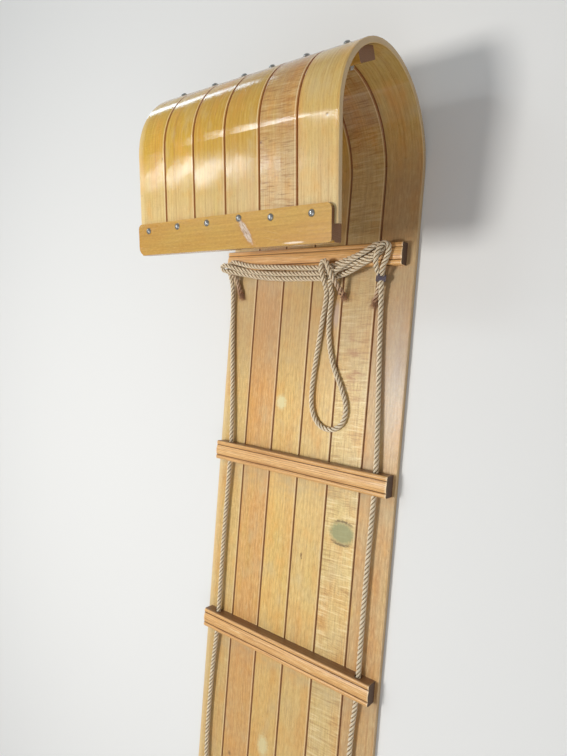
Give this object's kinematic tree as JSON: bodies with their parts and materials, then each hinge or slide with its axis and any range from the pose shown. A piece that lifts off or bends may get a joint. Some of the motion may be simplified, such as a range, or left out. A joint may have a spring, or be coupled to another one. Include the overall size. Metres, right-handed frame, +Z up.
{
  "type": "wooden toboggan",
  "caption": "Flat-bottomed wooden toboggan of steam-bent slats with a curled nose, moulded crossbars, side ropes and a stowed pull rope.",
  "frame": {"origin": "on the floor under the middle of the sled's length and width, at the slats' underside", "axes": "+Y towards the curled nose, +X to the rider's right, +Z up from the deck"},
  "size_m": [0.409, 1.829, 0.264],
  "materials": {
    "slat_wood": "clear glossy lacquer over pale honey-coloured hardwood",
    "crossbar_wood": "clear satin lacquer over orange-brown open-grained hardwood",
    "nose_wood": "clear glossy lacquer over honey-yellow hardwood",
    "rope": "three-strand twisted natural fibre",
    "tape": "dull dark cloth tape",
    "bolt_steel": "dulled zinc-plated steel of the bolts, nuts, washers and deck screws"
  },
  "bodies": {
    "root": {"slat_1": "slat_wood", "slat_2": "slat_wood", "slat_3": "slat_wood", "slat_4": "slat_wood", "slat_5": "slat_wood", "slat_6": "slat_wood", "crossbar_1": "crossbar_wood", "crossbar_2": "crossbar_wood", "crossbar_3": "crossbar_wood", "crossbar_4": "crossbar_wood", "crossbar_5": "crossbar_wood", "nose_board": "nose_wood", "nose_bar": "nose_wood", "crest_bar": "nose_wood", "side_rope_left": "rope", "side_rope_right": "rope", "pull_rope_hank": "rope", "pull_rope_loop": "rope", "rope_tail_left": "rope", "rope_tail_right": "rope", "tape_band": "tape"}
  },
  "joints": []
}
